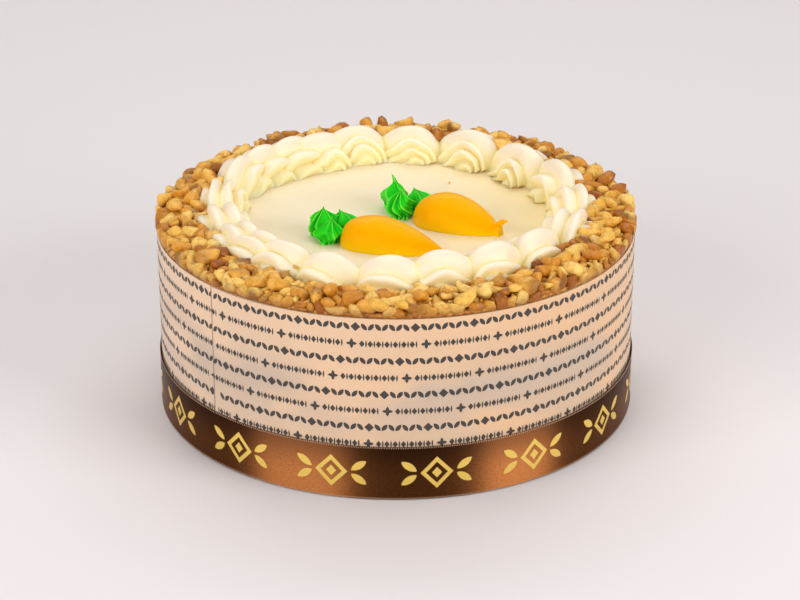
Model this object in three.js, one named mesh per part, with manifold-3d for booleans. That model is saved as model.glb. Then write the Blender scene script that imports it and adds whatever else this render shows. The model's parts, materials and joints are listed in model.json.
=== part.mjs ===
// A whole round carrot cake in its printed collar band and satin ribbon. The flat iced top carries
// a piped shell border, a rim of chopped walnuts and two piped carrots with tufts of leaves.
// Millimetres, +Z up. The origin is the middle of the flat underside. Seen from the front, along
// +Y, +X is to the right. Angles on the cake are counter-clockwise from +X, seen from above.
import * as THREE from 'three';
import { mergeVertices } from 'three/addons/utils/BufferGeometryUtils.js';
import Module from 'manifold-3d';

const wasm = await Module();
wasm.setup();

// Driving dimensions of the cake and its wraps
const COLLAR_RADIUS = 114;
const CAKE_HEIGHT = 89.5;
const FILM = 0.5;
const GAP = 0.3;
const ICING_DEPTH = 5;
const WRAP_FOOT = 0.5;
const RIBBON_TOP = 27;
const RING_SEGMENTS = 80;

// Driving dimensions of one piped shell: a round head, a body and a drawn out tail, with a broad
// lobe along its top and narrower ones along each flank
const SHELL_RING_RADIUS = 83;
const SHELL_HEAD = 14.5;
const SHELL_BODY = 15.5;
const SHELL_TAIL = 24;
const SHELL_HALF_WIDTH = 12.6;
const SHELL_HEIGHT = 16.2;
const TAIL_PINCH = 0.45;
const TOP_LOBE_DEG = 36;
const SIDE_LOBES = 2;
const CREASE_DEPTH = 0.15;
const SHELL_TURNS = 8;

// The shells are piped by hand, clockwise from the one near the back, and closer together at the
// left: the bearing of each one's crown, and how much further out and taller than usual it is
const SHELLS = [
  [84.5, 0, 0], [63, 1.5, 0.5], [41.5, 1.5, 0], [22.5, 4, 0], [2.5, 2.5, 0], [-18.5, 2.5, 0],
  [-40, -1, 0.3], [-58, -1.5, 1.2], [-76, -1.5, 1.8], [-92, -0.5, 0.6], [-111, 0, 0],
  [-127, 0, 0.5], [-139, 0, 0], [-149.5, 0, 0], [-166, 0.5, 0], [-186, 1.5, 0], [-207, 3.5, 0],
  [-219, 3.5, 0.5], [-231, 2, 0.5], [-242, 0, 0], [-255.5, 0.5, 0.7],
];
const SHELL_YAW_DEG = 5;
const SHELL_UNEVEN = 0.05;

// Driving dimensions of the walnut rim, a heap that slopes from the shells down to the collar
const NUT_COUNT = 119;
const NUT_RADII = [92.5, 110.5];
const HEAP_HEIGHTS = [10.4, 4.4];
const HEAP_CORE_HEIGHTS = [5.2, 2];
const HEAP_CORE_RADII = [101, 112.8];
const HEAP_CORE_SEGMENTS = 48;
const NUT_LIMIT_RADIUS = 113.4;
const NUT_HALF_LENGTHS = [4.6, 7.4];
const NUT_HALF_WIDTHS = [2.8, 4];
const NUT_CORNERS = [0.62, 1];
const FIRST_CORNER_QUALITY = 20;
const NUT_BEND = 0.05;
const NUT_TILT = 0.5;
const NUT_MOVES = 8;
const NUT_MOVE = 1.2;

// Multiples of these two shares, less their whole parts, fill a square evenly.
const SPREAD_SHARES = [0.7548776662, 0.569840291];

// Each carrot lies along a curve with a head, a bend and a tip. The taper moves its widest place
// towards its head, and the point draws its tip out. Its flanks tuck in where it meets the icing.
const CARROTS = [
  {
    name: 'carrot_1',
    line: [[-25.6, -26.4], [-9.2, -29.9], [24, -42.8]],
    halfWidth: 11.9,
    height: 13.4,
    taper: 0.38,
    point: 0.65,
  },
  {
    name: 'carrot_2',
    line: [[9.3, -1.7], [24.9, -2.2], [49.7, -20.4]],
    halfWidth: 11.9,
    height: 14,
    taper: 0.17,
    point: 0.39,
  },
];
const CARROT_TUCK_DEG = 24;
const CARROT_TURNS = 9;
const CARROT_STEPS = 12;

// Each tuft of leaves is three dollops, pulled up to a point that leans over.
const TUFTS = [
  {
    name: 'leaves_1',
    carrot: 0,
    dollops: [
      { at: [-35, -18.8], radius: 6.4, height: 13.2, lean: [0.8, 1.5] },
      { at: [-32, -27.2], radius: 6, height: 11.6, lean: [1, 1.2] },
      { at: [-25.8, -15], radius: 6, height: 10, lean: [-2, 1.6] },
    ],
  },
  {
    name: 'leaves_2',
    carrot: 1,
    dollops: [
      { at: [-0.4, 14.2], radius: 6.8, height: 16.2, lean: [-1, 2] },
      { at: [2.4, 4], radius: 6.6, height: 14.2, lean: [-0.6, 1] },
      { at: [10, 13.8], radius: 6, height: 10, lean: [-1.8, 1.6] },
    ],
  },
];
const LEAF_RIDGES = 6;
const LEAF_CREASE_DEPTH = 0.22;
const LEAF_TWIST_DEG = 25;

// A dollop's outline as shares of its radius and height, from the middle of its foot to its point
const DOLLOP_OUTLINE = [[0, 0], [0.85, 0], [1, 0.1], [0.88, 0.34], [0.52, 0.6], [0.2, 0.82], [0, 1]];

const FINISHES = {
  sponge: { color: 0xb97a3e, roughness: 0.9 },
  icing: { color: 0xf6e6c4, roughness: 0.5 },
  collar: { color: 0xf0cba5, roughness: 0.35 },
  ribbon: { color: 0x4a2417, roughness: 0.4 },
  cream: { color: 0xfff4d6, roughness: 0.45 },
  walnut: { color: 0xd9a45c, roughness: 0.6 },
  carrot: { color: 0xffa800, roughness: 0.35 },
  leaf: { color: 0x10b818, roughness: 0.4 },
};

// Points closer together than this are one point of a closed solid.
const MERGE_DISTANCE = 1e-4;

// Sizes worked out from the driving dimensions
const collarInner = COLLAR_RADIUS - FILM;
const cakeRadius = collarInner - GAP;
const ribbonInner = COLLAR_RADIUS + GAP;
const ribbonOuter = ribbonInner + FILM;
const bodyTop = CAKE_HEIGHT - ICING_DEPTH - GAP;
const toppingFloor = CAKE_HEIGHT + GAP;
const sideLobeDeg = (90 - TOP_LOBE_DEG) / SIDE_LOBES;

const { lerp, degToRad } = THREE.MathUtils;

// A repeatable uneven value from 0 to 1, for quality k of item number i.
function uneven(i, k) {
  const wave = Math.sin(i * 12.9898 + k * 78.233) * 43758.5453;
  return wave - Math.floor(wave);
}

// An uneven value from -1 to 1.
function unevenEitherWay(i, k) {
  return 2 * uneven(i, k) - 1;
}

// Merges the doubled points of a geometry, so that only its places and corners are left.
function merged(geometry) {
  geometry.deleteAttribute('normal');
  geometry.deleteAttribute('uv');
  return mergeVertices(geometry, MERGE_DISTANCE);
}

// Six times the volume that the triangles enclose. It is positive where they face outwards.
function signedVolume(points, corners) {
  const [a, b, c] = [new THREE.Vector3(), new THREE.Vector3(), new THREE.Vector3()];
  let sum = 0;
  for (let i = 0; i < corners.length; i += 3) {
    a.fromArray(points, 3 * corners[i]);
    b.fromArray(points, 3 * corners[i + 1]);
    c.fromArray(points, 3 * corners[i + 2]);
    sum += a.dot(b.cross(c));
  }
  return sum;
}

// Makes a closed solid of a geometry, turned right side out where its faces point inwards.
function toSolid(geometry) {
  const shape = merged(geometry);
  const points = new Float32Array(shape.attributes.position.array);
  const index = shape.index.array;
  const corners = [];
  for (let i = 0; i < index.length; i += 3) {
    const [a, b, c] = index.slice(i, i + 3);
    if (a !== b && b !== c && c !== a) corners.push(a, b, c);
  }
  if (signedVolume(points, corners) < 0) corners.reverse();
  const triVerts = new Uint32Array(corners);
  return new wasm.Manifold(new wasm.Mesh({ numProp: 3, vertProperties: points, triVerts }));
}

function toGeometry(solid) {
  const mesh = solid.getMesh();
  const geometry = new THREE.BufferGeometry();
  geometry.setAttribute('position', new THREE.BufferAttribute(mesh.vertProperties, 3));
  geometry.setIndex(new THREE.BufferAttribute(mesh.triVerts, 1));
  geometry.computeVertexNormals();
  return geometry;
}

// Joins solids and keeps the largest body, without loose scraps.
function fuse(solids) {
  const bodies = wasm.Manifold.union(solids).decompose();
  return bodies.reduce((best, body) => (body.volume() > best.volume() ? body : best));
}

// A solid turned about +Z, from profile points given as [radius, height].
function turned(profile, segments = RING_SEGMENTS) {
  const points = profile.map(([radius, height]) => new THREE.Vector2(radius, height));
  return toSolid(new THREE.LatheGeometry(points, segments).rotateX(Math.PI / 2));
}

function disc(radius, low, high) {
  return turned([[0, low], [radius, low], [radius, high], [0, high]]);
}

function ring(inner, outer, low, high) {
  return turned([[inner, low], [outer, low], [outer, high], [inner, high], [inner, low]]);
}

// A dome with a flat underside, made of a sphere whose axis lies flat. Row number r of its points
// is at liftAt(r), from one pole to the other. Along a row, the turn runs from 0 at one foot over
// the top to pi at the other foot, and one last step goes straight back along the underside.
function dome(turns, rows, liftAt, place) {
  const steps = turns + 1;
  const geometry = new THREE.SphereGeometry(1, steps, rows);
  const position = geometry.attributes.position;
  for (let i = 0; i < position.count; i++) {
    const step = (i % (steps + 1)) % steps;
    const row = Math.floor(i / (steps + 1));
    position.setXYZ(i, ...place((Math.PI * step) / turns, liftAt(row)));
  }
  return toSolid(geometry);
}

// The rows of a shell, in degrees from the ridge line of its top lobe. Each crease has a row, and
// so has the crown of each lobe on the flanks. The top lobe has two rows on each half.
const HALF_ROWS = 2 + 2 * SIDE_LOBES;

function shellLift(row) {
  const side = Math.sign(row - HALF_ROWS);
  const step = Math.abs(row - HALF_ROWS);
  const inTop = Math.min(step, 2) * (TOP_LOBE_DEG / 2);
  const beyond = Math.max(step - 2, 0) * (sideLobeDeg / 2);
  return degToRad(side * (inTop + beyond));
}

// How deep a shell is creased at a lift: 0 on the crown of a lobe and 1 in a crease.
function creaseShare(lift) {
  const degrees = Math.abs(THREE.MathUtils.radToDeg(lift));
  if (degrees < TOP_LOBE_DEG) return 1 - Math.cos((Math.PI * degrees) / (2 * TOP_LOBE_DEG));
  return 1 - Math.abs(Math.sin((Math.PI * (degrees - TOP_LOBE_DEG)) / sideLobeDeg));
}

// One piped shell. The poles of its dome are at the feet of its two flanks, so the lobes run round
// them in nested arches: steep up the head, then long and low along the tail, which narrows. The
// shell follows the ring of the border, and grow makes it larger all round.
function shell(number, grow) {
  const [angle, shift, riseMore] = SHELLS[number];
  const size = 1 + SHELL_UNEVEN * unevenEitherWay(number, 1);
  const yaw = degToRad(SHELL_YAW_DEG) * unevenEitherWay(number, 2);
  const height = SHELL_HEIGHT + riseMore + grow;
  const place = (turn, lift) => {
    const swell = 1 - CREASE_DEPTH * creaseShare(lift);
    const rho = Math.cos(lift) * swell;
    const forward = Math.cos(turn);
    const rise = Math.sin(turn);
    const tail = SHELL_BODY + (SHELL_TAIL - SHELL_BODY) * (1 - rise) ** 2;
    const reach = (forward > 0 ? SHELL_HEAD : tail) * size + grow;
    const pinch = forward > 0 ? 1 : 1 - TAIL_PINCH * forward ** 2 * rho;
    const along = reach * rho * forward;
    const across = (SHELL_HALF_WIDTH * size + grow) * Math.sin(lift) * swell * pinch;
    const ahead = along * Math.cos(yaw) - across * Math.sin(yaw);
    const outward = along * Math.sin(yaw) + across * Math.cos(yaw);
    const radius = SHELL_RING_RADIUS + shift + outward;
    const bearing = degToRad(angle) - ahead / SHELL_RING_RADIUS;
    return [radius * Math.cos(bearing), radius * Math.sin(bearing), height * rho * rise];
  };
  return dome(SHELL_TURNS, 2 * HALF_ROWS, shellLift, place);
}

function pipedBorder(grow = 0) {
  return fuse(SHELLS.map((_, number) => shell(number, grow)));
}

// One chopped walnut: a block whose corners are drawn in unevenly and whose ends bend down. The
// unevenness of its corners has quality numbers of its own.
function walnut(number) {
  const geometry = merged(new THREE.BoxGeometry(2, 2, 2));
  const halfLength = lerp(...NUT_HALF_LENGTHS, uneven(number, 5) ** 2);
  const halfWidth = lerp(...NUT_HALF_WIDTHS, uneven(number, 6));
  const position = geometry.attributes.position;
  const point = new THREE.Vector3();
  for (let i = 0; i < position.count; i++) {
    const quality = FIRST_CORNER_QUALITY + i;
    point.fromBufferAttribute(position, i).multiplyScalar(lerp(...NUT_CORNERS, uneven(number, quality)));
    point.multiply(new THREE.Vector3(halfLength, halfWidth, halfWidth));
    point.z -= NUT_BEND * point.x ** 2;
    position.setXYZ(i, point.x, point.y, point.z);
  }
  geometry.rotateX(Math.PI * uneven(number, 7));
  geometry.rotateY(NUT_TILT * unevenEitherWay(number, 8));
  return geometry.rotateZ(Math.PI * uneven(number, 9));
}

// Lays a walnut on the heap at a bearing and a radius, kept above the icing and inside the rim.
function laidWalnut(number, bearing, radius) {
  const geometry = walnut(number);
  const share = (radius - NUT_RADII[0]) / (NUT_RADII[1] - NUT_RADII[0]);
  const lie = lerp(...HEAP_HEIGHTS, share) - NUT_HALF_WIDTHS[0] / 2 + unevenEitherWay(number, 10);
  geometry.translate(radius * Math.cos(bearing), radius * Math.sin(bearing), lie);
  const position = geometry.attributes.position;
  for (let i = 0; i < position.count; i++) {
    const out = Math.hypot(position.getX(i), position.getY(i));
    const pull = Math.min(1, NUT_LIMIT_RADIUS / out);
    const height = Math.max(position.getZ(i), 0);
    position.setXYZ(i, position.getX(i) * pull, position.getY(i) * pull, height);
  }
  return toSolid(geometry);
}

// The walnut rim: a low core with the walnuts spread evenly over it. A walnut that would cross the
// piped border is moved outwards in small steps, and left out where that isn't enough.
function walnutRim() {
  const border = pipedBorder(GAP);
  const [inner, outer] = HEAP_CORE_RADII;
  const [high, low] = HEAP_CORE_HEIGHTS;
  const core = [[inner, 0], [outer, 0], [outer, low], [inner, high], [inner, 0]];
  const solids = [turned(core, HEAP_CORE_SEGMENTS)];
  for (let number = 0; number < NUT_COUNT; number++) {
    const bearing = 2 * Math.PI * ((number * SPREAD_SHARES[0]) % 1);
    let radius = lerp(...NUT_RADII, (number * SPREAD_SHARES[1]) % 1);
    for (let move = 0; move <= NUT_MOVES; move++) {
      const nut = laidWalnut(number, bearing, radius);
      if (nut.intersect(border).isEmpty()) {
        solids.push(nut);
        break;
      }
      radius += NUT_MOVE;
    }
  }
  return fuse(solids);
}

// One piped carrot: a dome whose poles are its head and its tip.
function carrot({ line, halfWidth, height, taper, point }, grow = 0) {
  const curve = new THREE.QuadraticBezierCurve(...line.map(([x, y]) => new THREE.Vector2(x, y)));
  const liftAt = (row) => Math.PI * (row / CARROT_STEPS - 0.5);
  const tuck = degToRad(CARROT_TUCK_DEG);
  const place = (turn, lift) => {
    const even = (1 + Math.sin(lift)) / 2;
    const share = lerp(even, even ** 2, taper);
    const middle = curve.getPoint(share);
    const heading = curve.getTangent(share);
    const size = Math.max(Math.cos(lift), 0) ** (1 + point * even ** 2);
    const around = lerp(-tuck, Math.PI + tuck, turn / Math.PI);
    const level = (Math.sin(around) + Math.sin(tuck)) / (1 + Math.sin(tuck));
    const across = (halfWidth + grow) * size * Math.cos(around);
    const end = grow * Math.sin(lift);
    const x = middle.x + end * heading.x - across * heading.y;
    const y = middle.y + end * heading.y + across * heading.x;
    return [x, y, (height + grow) * size * level];
  };
  return dome(CARROT_TURNS, CARROT_STEPS, liftAt, place);
}

// One dollop of leaf: a turned cone with ridges that twist as they rise to the leaning point.
function dollop({ at, radius, height, lean }) {
  const outline = DOLLOP_OUTLINE.map(([out, up]) => new THREE.Vector2(out * radius, up * height));
  const geometry = new THREE.LatheGeometry(outline, 2 * LEAF_RIDGES).rotateX(Math.PI / 2);
  const position = geometry.attributes.position;
  for (let i = 0; i < position.count; i++) {
    const step = Math.floor(i / outline.length);
    const up = position.getZ(i) / height;
    const share = step % 2 ? 1 - LEAF_CREASE_DEPTH : 1;
    const twist = degToRad(LEAF_TWIST_DEG) * up;
    const [x, y] = [position.getX(i) * share, position.getY(i) * share];
    const turnedX = x * Math.cos(twist) - y * Math.sin(twist);
    const turnedY = x * Math.sin(twist) + y * Math.cos(twist);
    const bend = up ** 2;
    position.setX(i, at[0] + turnedX + lean[0] * bend);
    position.setY(i, at[1] + turnedY + lean[1] * bend);
  }
  return toSolid(geometry);
}

function tuft({ carrot: index, dollops }) {
  return fuse([fuse(dollops.map(dollop)).subtract(carrot(CARROTS[index], GAP))]);
}

function piece(name, solid, finish) {
  const material = new THREE.MeshStandardMaterial({ ...finish, metalness: 0 });
  const mesh = new THREE.Mesh(toGeometry(solid), material);
  mesh.name = name;
  return mesh;
}

const cake = new THREE.Group();
cake.add(piece('cake_body', disc(cakeRadius, 0, bodyTop), FINISHES.sponge));
cake.add(piece('icing_top', disc(cakeRadius, bodyTop + GAP, CAKE_HEIGHT), FINISHES.icing));

const wraps = new THREE.Group();
const collar = ring(collarInner, COLLAR_RADIUS, WRAP_FOOT, CAKE_HEIGHT);
const ribbon = ring(ribbonInner, ribbonOuter, WRAP_FOOT, RIBBON_TOP);
wraps.add(piece('printed_collar', collar, FINISHES.collar));
wraps.add(piece('satin_ribbon', ribbon, FINISHES.ribbon));

const toppings = new THREE.Group();
toppings.position.z = toppingFloor;
toppings.add(piece('piped_border', pipedBorder(), FINISHES.cream));
toppings.add(piece('walnut_rim', walnutRim(), FINISHES.walnut));
for (const one of CARROTS) toppings.add(piece(one.name, carrot(one), FINISHES.carrot));
for (const one of TUFTS) toppings.add(piece(one.name, tuft(one), FINISHES.leaf));

const part = new THREE.Group();
part.add(cake, wraps, toppings);
export default part;
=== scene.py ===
import json
import math

import bmesh
import bpy
import numpy as np
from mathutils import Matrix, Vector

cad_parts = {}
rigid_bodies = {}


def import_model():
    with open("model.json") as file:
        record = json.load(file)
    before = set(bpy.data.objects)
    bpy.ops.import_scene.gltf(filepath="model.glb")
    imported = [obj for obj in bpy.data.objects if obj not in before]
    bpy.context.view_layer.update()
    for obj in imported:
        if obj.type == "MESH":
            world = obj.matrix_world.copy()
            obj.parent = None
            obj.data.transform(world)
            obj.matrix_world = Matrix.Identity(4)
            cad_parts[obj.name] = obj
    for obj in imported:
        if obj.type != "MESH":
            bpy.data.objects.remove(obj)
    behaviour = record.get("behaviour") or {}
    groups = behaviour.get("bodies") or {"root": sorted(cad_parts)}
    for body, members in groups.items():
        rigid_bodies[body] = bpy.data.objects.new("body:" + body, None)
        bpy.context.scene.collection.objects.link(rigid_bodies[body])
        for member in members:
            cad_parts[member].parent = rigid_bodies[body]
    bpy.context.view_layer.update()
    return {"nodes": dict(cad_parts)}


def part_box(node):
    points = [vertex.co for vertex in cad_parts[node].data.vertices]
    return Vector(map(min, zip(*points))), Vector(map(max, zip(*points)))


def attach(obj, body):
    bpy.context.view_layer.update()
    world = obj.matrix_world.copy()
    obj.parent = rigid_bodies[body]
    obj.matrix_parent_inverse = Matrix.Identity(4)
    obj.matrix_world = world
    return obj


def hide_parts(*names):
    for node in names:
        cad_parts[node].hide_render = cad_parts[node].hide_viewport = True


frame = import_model()

# The looks of a whole round carrot cake, iced and set in a printed film collar and a satin ribbon,
# with a piped shell border, a rim of chopped walnuts and two piped carrots with tufts of leaves.
# Sizes are in millimetres, and MM turns them into metres. Bearings on the cake run
# counter-clockwise from +X, seen from above.
MM = 0.001


def node_box(node):
    """Lowest and highest corner of a solid of the frame, in millimetres."""
    return [np.array(corner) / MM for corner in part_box(node)]


# Sizes read from the frame
CAKE_RADIUS = node_box("cake_body")[1][0]
ICING_FLOOR = node_box("icing_top")[0][2]
ICING_TOP = node_box("icing_top")[1][2]
COLLAR_RADIUS = node_box("printed_collar")[1][0]
WRAP_FOOT = node_box("printed_collar")[0][2]
RIM = node_box("printed_collar")[1][2]
RIBBON_RADIUS = node_box("satin_ribbon")[1][0]
RIBBON_TOP = node_box("satin_ribbon")[1][2]
RIBBON_WIDTH = RIBBON_TOP - WRAP_FOOT
TOPPING_FLOOR = node_box("piped_border")[0][2]

# The piped shell border: the bearing of each shell's crown, how much further out it is, how much
# taller, and how much wider on its inner side than usual, and which pattern of lobes it has. On
# its outer side a shell is wider the nearer it is to the front.
SHELL_RING_RADIUS = 83
SHELLS = [
    (84.5, 0, 0, 0, "wide"), (63, 1.5, 0.5, 2.5, "wide"), (41.5, 1.5, 0, 5, "even"),
    (22.5, 4, 0, 5, "ropes"), (2.5, 2.5, 0, 3, "split"), (-18.5, 2.5, 0, 2, "split"),
    (-40, -1, 0.3, 0, "steps"), (-58, -1.5, 1.2, 0, "steps"), (-76, -1.5, 1.8, 0, "broad"),
    (-92, -0.5, 0.6, 0, "steps"), (-111, 0, 0, 0, "broad"), (-127, 0, 0.5, 0, "ropes"),
    (-139, 0, 0, 1, "split"), (-149.5, 0, 0, 1, "split"), (-166, 0.5, 0, 2, "split"),
    (-186, 1.5, 0, 2, "split"), (-207, 3.5, 0, 3, "ropes"), (-219, 3.5, 0.5, 5, "ropes"),
    (-231, 2, 0.5, 4, "ropes"), (-242, 0, 0, 3, "broad"), (-255.5, 0.5, 0.7, 0, "wide"),
]
SHELL_HEAD = 16
SHELL_BODY = 17.5
SHELL_TAIL = 25
SHELL_HALF_WIDTH = 12.6
SHELL_FRONT_MORE = 2.6
SHELL_HEIGHT = 16.2
SHELL_YAW_DEG = 5
SHELL_UNEVEN = 0.05
TAIL_PINCH = 0.45
POLE_SHIFT = 6
SHELL_FLOW = 4

# Where the creases between the lobes are, in degrees from the ridge line, and how deep each is
LOBE_PATTERNS = {
    "split": [(0, 0.9), (33, 1), (62, 1), (90, 1)],
    "ropes": [(23, 1), (54, 1), (90, 1)],
    "wide": [(26, 0.6), (44, 1), (65, 1), (90, 1)],
    "even": [(34, 0.9), (53, 1), (72, 1), (90, 1)],
    "broad": [(34, 1), (62, 1), (90, 1)],
    "steps": [(30, 1), (54, 1), (74, 1), (90, 1)],
}
DEGREES_A_ROW = 1.6
CREASE_DEPTH = 0.27
POCKET_DEPTH = 0.14
SHELL_TURNS = 48
TAIL_SPREAD = 0.4
TAIL_DROP_DEG = 12

# How far the piped pieces sink into the icing
PIPED_SINK = 0.9

# The walnut rim: a bed of crumbs, and loose nuts over it that slope from the shells down to the
# collar, higher at the back and lower at the front. The nuts keep inside the collar, and above
# its rim they may reach a little over it.
NUT_COUNT = 700
CRUMB_COUNT = 2000
HEAP_RADII = (95, 111)
HEAP_HEIGHTS = (6.2, 5.0)
HEAP_BULGE = 1.7
HEAP_BACK_MORE = 3.8
HEAP_FRONT_LESS = 3.3
HEAP_CORE_RADII = (97.6, 113.5)
HEAP_CORE_HEIGHTS = (5.5, 1.6)
NUT_LIMIT_RADIUS = 113.5
NUT_SQUARENESS = 3.2
NUT_CUTS = 3
NUT_OVERHANG = 1
DROPPED_CRUMBS = [(26.2, 45.7)]

# The carrots and their tufts of leaves, as in the solids: head, bend and tip of each carrot, and
# place, radius, height, lean and curl of each dollop of a tuft, with the share of its height that
# is its dome. The second carrot ends in a blunt tail whose top is drawn out, where the piping bag
# was pulled away.
CARROTS = {
    "carrot_1": {
        "line": [(-26.1, -26), (-9.2, -29.5), (24, -42.6)],
        "half_width": 11.9, "height": 13.4, "taper": 0.38, "point": 0.65, "tail": 0,
    },
    "carrot_2": {
        "line": [(7.9, -0.8), (24.9, -1.5), (49.7, -20)],
        "half_width": 11.9, "height": 14.5, "taper": 0.17, "point": 0.39, "tail": 1,
    },
}
TUFTS = {
    "leaves_1": [
        ((-34.8, -18.8), 6.5, 13.8, (0.8, 1.5), (0.2, 0), 0.9),
        ((-31.4, -27.2), 5.6, 12, (1.4, 1.2), (0.3, 0), 0.88),
        ((-24, -14.8), 6, 10.8, (-2.2, 1.6), (-1, 0), 0.88),
    ],
    "leaves_2": [
        ((0.2, 14.4), 7, 16.8, (-0.6, 2), (-1.9, 0), 0.76),
        ((3, 3.6), 6, 14.4, (-0.4, 1), (-0.3, 0), 0.86),
        ((11.2, 14.2), 6.4, 10, (-2.2, 1.6), (-0.8, 0), 0.9),
    ],
}
CARROT_TUCK_DEG = 5
TAIL_HEIGHT = 8.8
TAIL_HALF_WIDTH = 2.4
LEAF_RIDGES = 6

# The collar: a strip of film whose ends overlap, printed with rows of small marks
FILM = 0.2
SEAM_DEG = -136.8
OVERLAP_DEG = 14
SEAM_EASE_DEG = 9
SEAM_LIFT = 0.34
PRINT_ROWS = 8
PRINT_PITCH = 8.2
PRINT_DROP = 3.9
PRINT_STAGGER = 0.37
INK_THICKNESS = 0.03

# Even rows of the print are sprigs of tilted leaves between lozenges, odd rows are strings of
# small lozenges and slips between stars: the length of one group, and its marks, each with its
# place along the group and its tilt in degrees
PRINT_GROUPS = [
    (26.4, {"leaf": [(3.1 * i, (-52, 52)[i % 2]) for i in range(7)], "lozenge": [(22.6, 0)]}),
    (33.0, {
        "small": [(3.7 * i, 0) for i in range(7)],
        "slip": [(3.7 * i + 1.85, 90) for i in range(7)],
        "star": [(28.4, 0)],
    }),
]

# The ribbon: satin, about an inch wide, with stitched edges and foil motifs, lapped at the back
RIBBON_THICKNESS = 0.25
RIBBON_LAP_DEG = 8
RIBBON_EASE_DEG = 4
RIBBON_LIFT = 0.3
RIBBON_START_DEG = 96
THREAD_LENGTH = 1.3
THREAD_PITCH = 0.6
STITCH_PITCH = 1.05
STITCH_SLANT_DEG = 24
STITCH_THICKNESS = 0.14
FLOAT_LEAN_DEG = 24
FOIL_COUNT = 15
FOIL_FIRST_DEG = -80.7
FOIL_LEAF_SIDE = 12.6
FOIL_LEAF_UP = 3.4
FOIL_LEAF_TURN = 0.62
FOIL_THICKNESS = 0.05

# The photograph's camera, solved from the ellipses of the collar and the ribbon
CAMERA_PLACE = (1.9, -1097, 547)
CAMERA_PITCH_DEG = 24.5
CAMERA_LENS = 111.9

# How high over the floor the soft boxes are aimed
LIGHT_AIM = 60


def uneven(item, quality):
    """A repeatable uneven value from 0 to 1 for each item number: the part after the decimal
    point of a sine that is made very large."""
    large = np.sin(np.asarray(item, float) * 12.9898 + quality * 78.233) * 43758.5453
    return large - np.floor(large)


def either_way(item, quality):
    """An uneven value from -1 to 1."""
    return 2 * uneven(item, quality) - 1


def wave(item, quality, phase):
    """A sine of a phase, which starts at an uneven point for each item."""
    return np.sin(phase + 6 * uneven(item, quality))


def blend(low, high, share):
    return low + (high - low) * share


def smooth_step(low, high, value):
    """0 below low, 1 above high and a smooth ramp between: 3 t squared less 2 t cubed."""
    share = np.clip((value - low) / (high - low), 0, 1)
    return share * share * (3 - 2 * share)


def polar(radius, angle, height):
    """Points at a radius and an angle round the upright axis, and a height."""
    return np.stack(np.broadcast_arrays(radius * np.cos(angle), radius * np.sin(angle), height), -1)


def grid_faces(rows, columns, round_columns=True, round_rows=False):
    """Quads over a grid of points that is stored row by row. The last column or row joins the
    first one where the grid goes round."""
    row = np.arange(rows if round_rows else rows - 1)[:, None]
    column = np.arange(columns if round_columns else columns - 1)[None, :]
    this_row = row * columns
    next_row = (row + 1) % rows * columns
    next_column = (column + 1) % columns
    corners = (this_row + column, this_row + next_column, next_row + next_column, next_row + column)
    return np.stack(np.broadcast_arrays(*corners), axis=-1).reshape(-1, 4)


def copied(faces, size, count):
    """The faces of a number of copies of a shape that has size points, one after the other."""
    return (faces + size * np.arange(count)[:, None, None]).reshape(-1, faces.shape[1])


def set_number(mesh, key, numbers):
    """Gives each point of a mesh a number of its own, which a material can read by its key."""
    data = mesh.attributes.new(key, "FLOAT", "POINT").data
    data.foreach_set("value", numbers.ravel().astype(np.float32))


def mesh_of(name, points, faces, uv=None, values=None):
    """A mesh of points in millimetres, with doubled points merged and its faces turned outwards.
    uv gives a place in the UV map for each point, and values are named numbers for each point."""
    mesh = bpy.data.meshes.new(name)
    mesh.from_pydata((points.reshape(-1, 3) * MM).tolist(), [], faces.tolist())
    for key, numbers in (values or {}).items():
        set_number(mesh, key, numbers)
    if uv is not None:
        corners = np.zeros(len(mesh.loops), np.int32)
        mesh.loops.foreach_get("vertex_index", corners)
        layer = mesh.uv_layers.new(name="UVMap")
        layer.data.foreach_set("uv", uv.reshape(-1, 2).astype(np.float32)[corners].ravel())
    shape = bmesh.new()
    shape.from_mesh(mesh)
    bmesh.ops.remove_doubles(shape, verts=shape.verts, dist=0.0004 * MM)
    bmesh.ops.dissolve_degenerate(shape, edges=shape.edges, dist=0.0004 * MM)
    bmesh.ops.recalc_face_normals(shape, faces=shape.faces)
    shape.to_mesh(mesh)
    shape.free()
    return mesh


def added(name, data):
    """A new object in the scene."""
    thing = bpy.data.objects.new(name, data)
    bpy.context.scene.collection.objects.link(thing)
    return thing


def place(mesh, material, replaces=(), sharp_deg=180):
    """Puts a mesh into the scene as a piece of the cake that rides on its one body."""
    mesh.shade_smooth()
    if sharp_deg < 180:
        mesh.set_sharp_from_angle(angle=math.radians(sharp_deg))
    mesh.materials.append(material)
    piece = added(mesh.name, mesh)
    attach(piece, "root")
    if replaces:
        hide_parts(*replaces)
    return piece


def fused(name, meshes):
    """One closed mesh out of several that overlap, by one Boolean union."""
    first = added(meshes[0].name, meshes[0])
    others = bpy.data.collections.new(name + "_parts")
    bpy.context.scene.collection.children.link(others)
    for mesh in meshes[1:]:
        others.objects.link(bpy.data.objects.new(mesh.name, mesh))
    union = first.modifiers.new("union", "BOOLEAN")
    union.operation = "UNION"
    union.solver = "MANIFOLD"
    union.operand_type = "COLLECTION"
    union.collection = others
    graph = bpy.context.evaluated_depsgraph_get()
    mesh = bpy.data.meshes.new_from_object(first.evaluated_get(graph))
    mesh.name = name
    mesh.materials.clear()
    for each in [first, *others.objects]:
        bpy.data.objects.remove(each)
    bpy.data.collections.remove(others)
    return mesh


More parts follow.
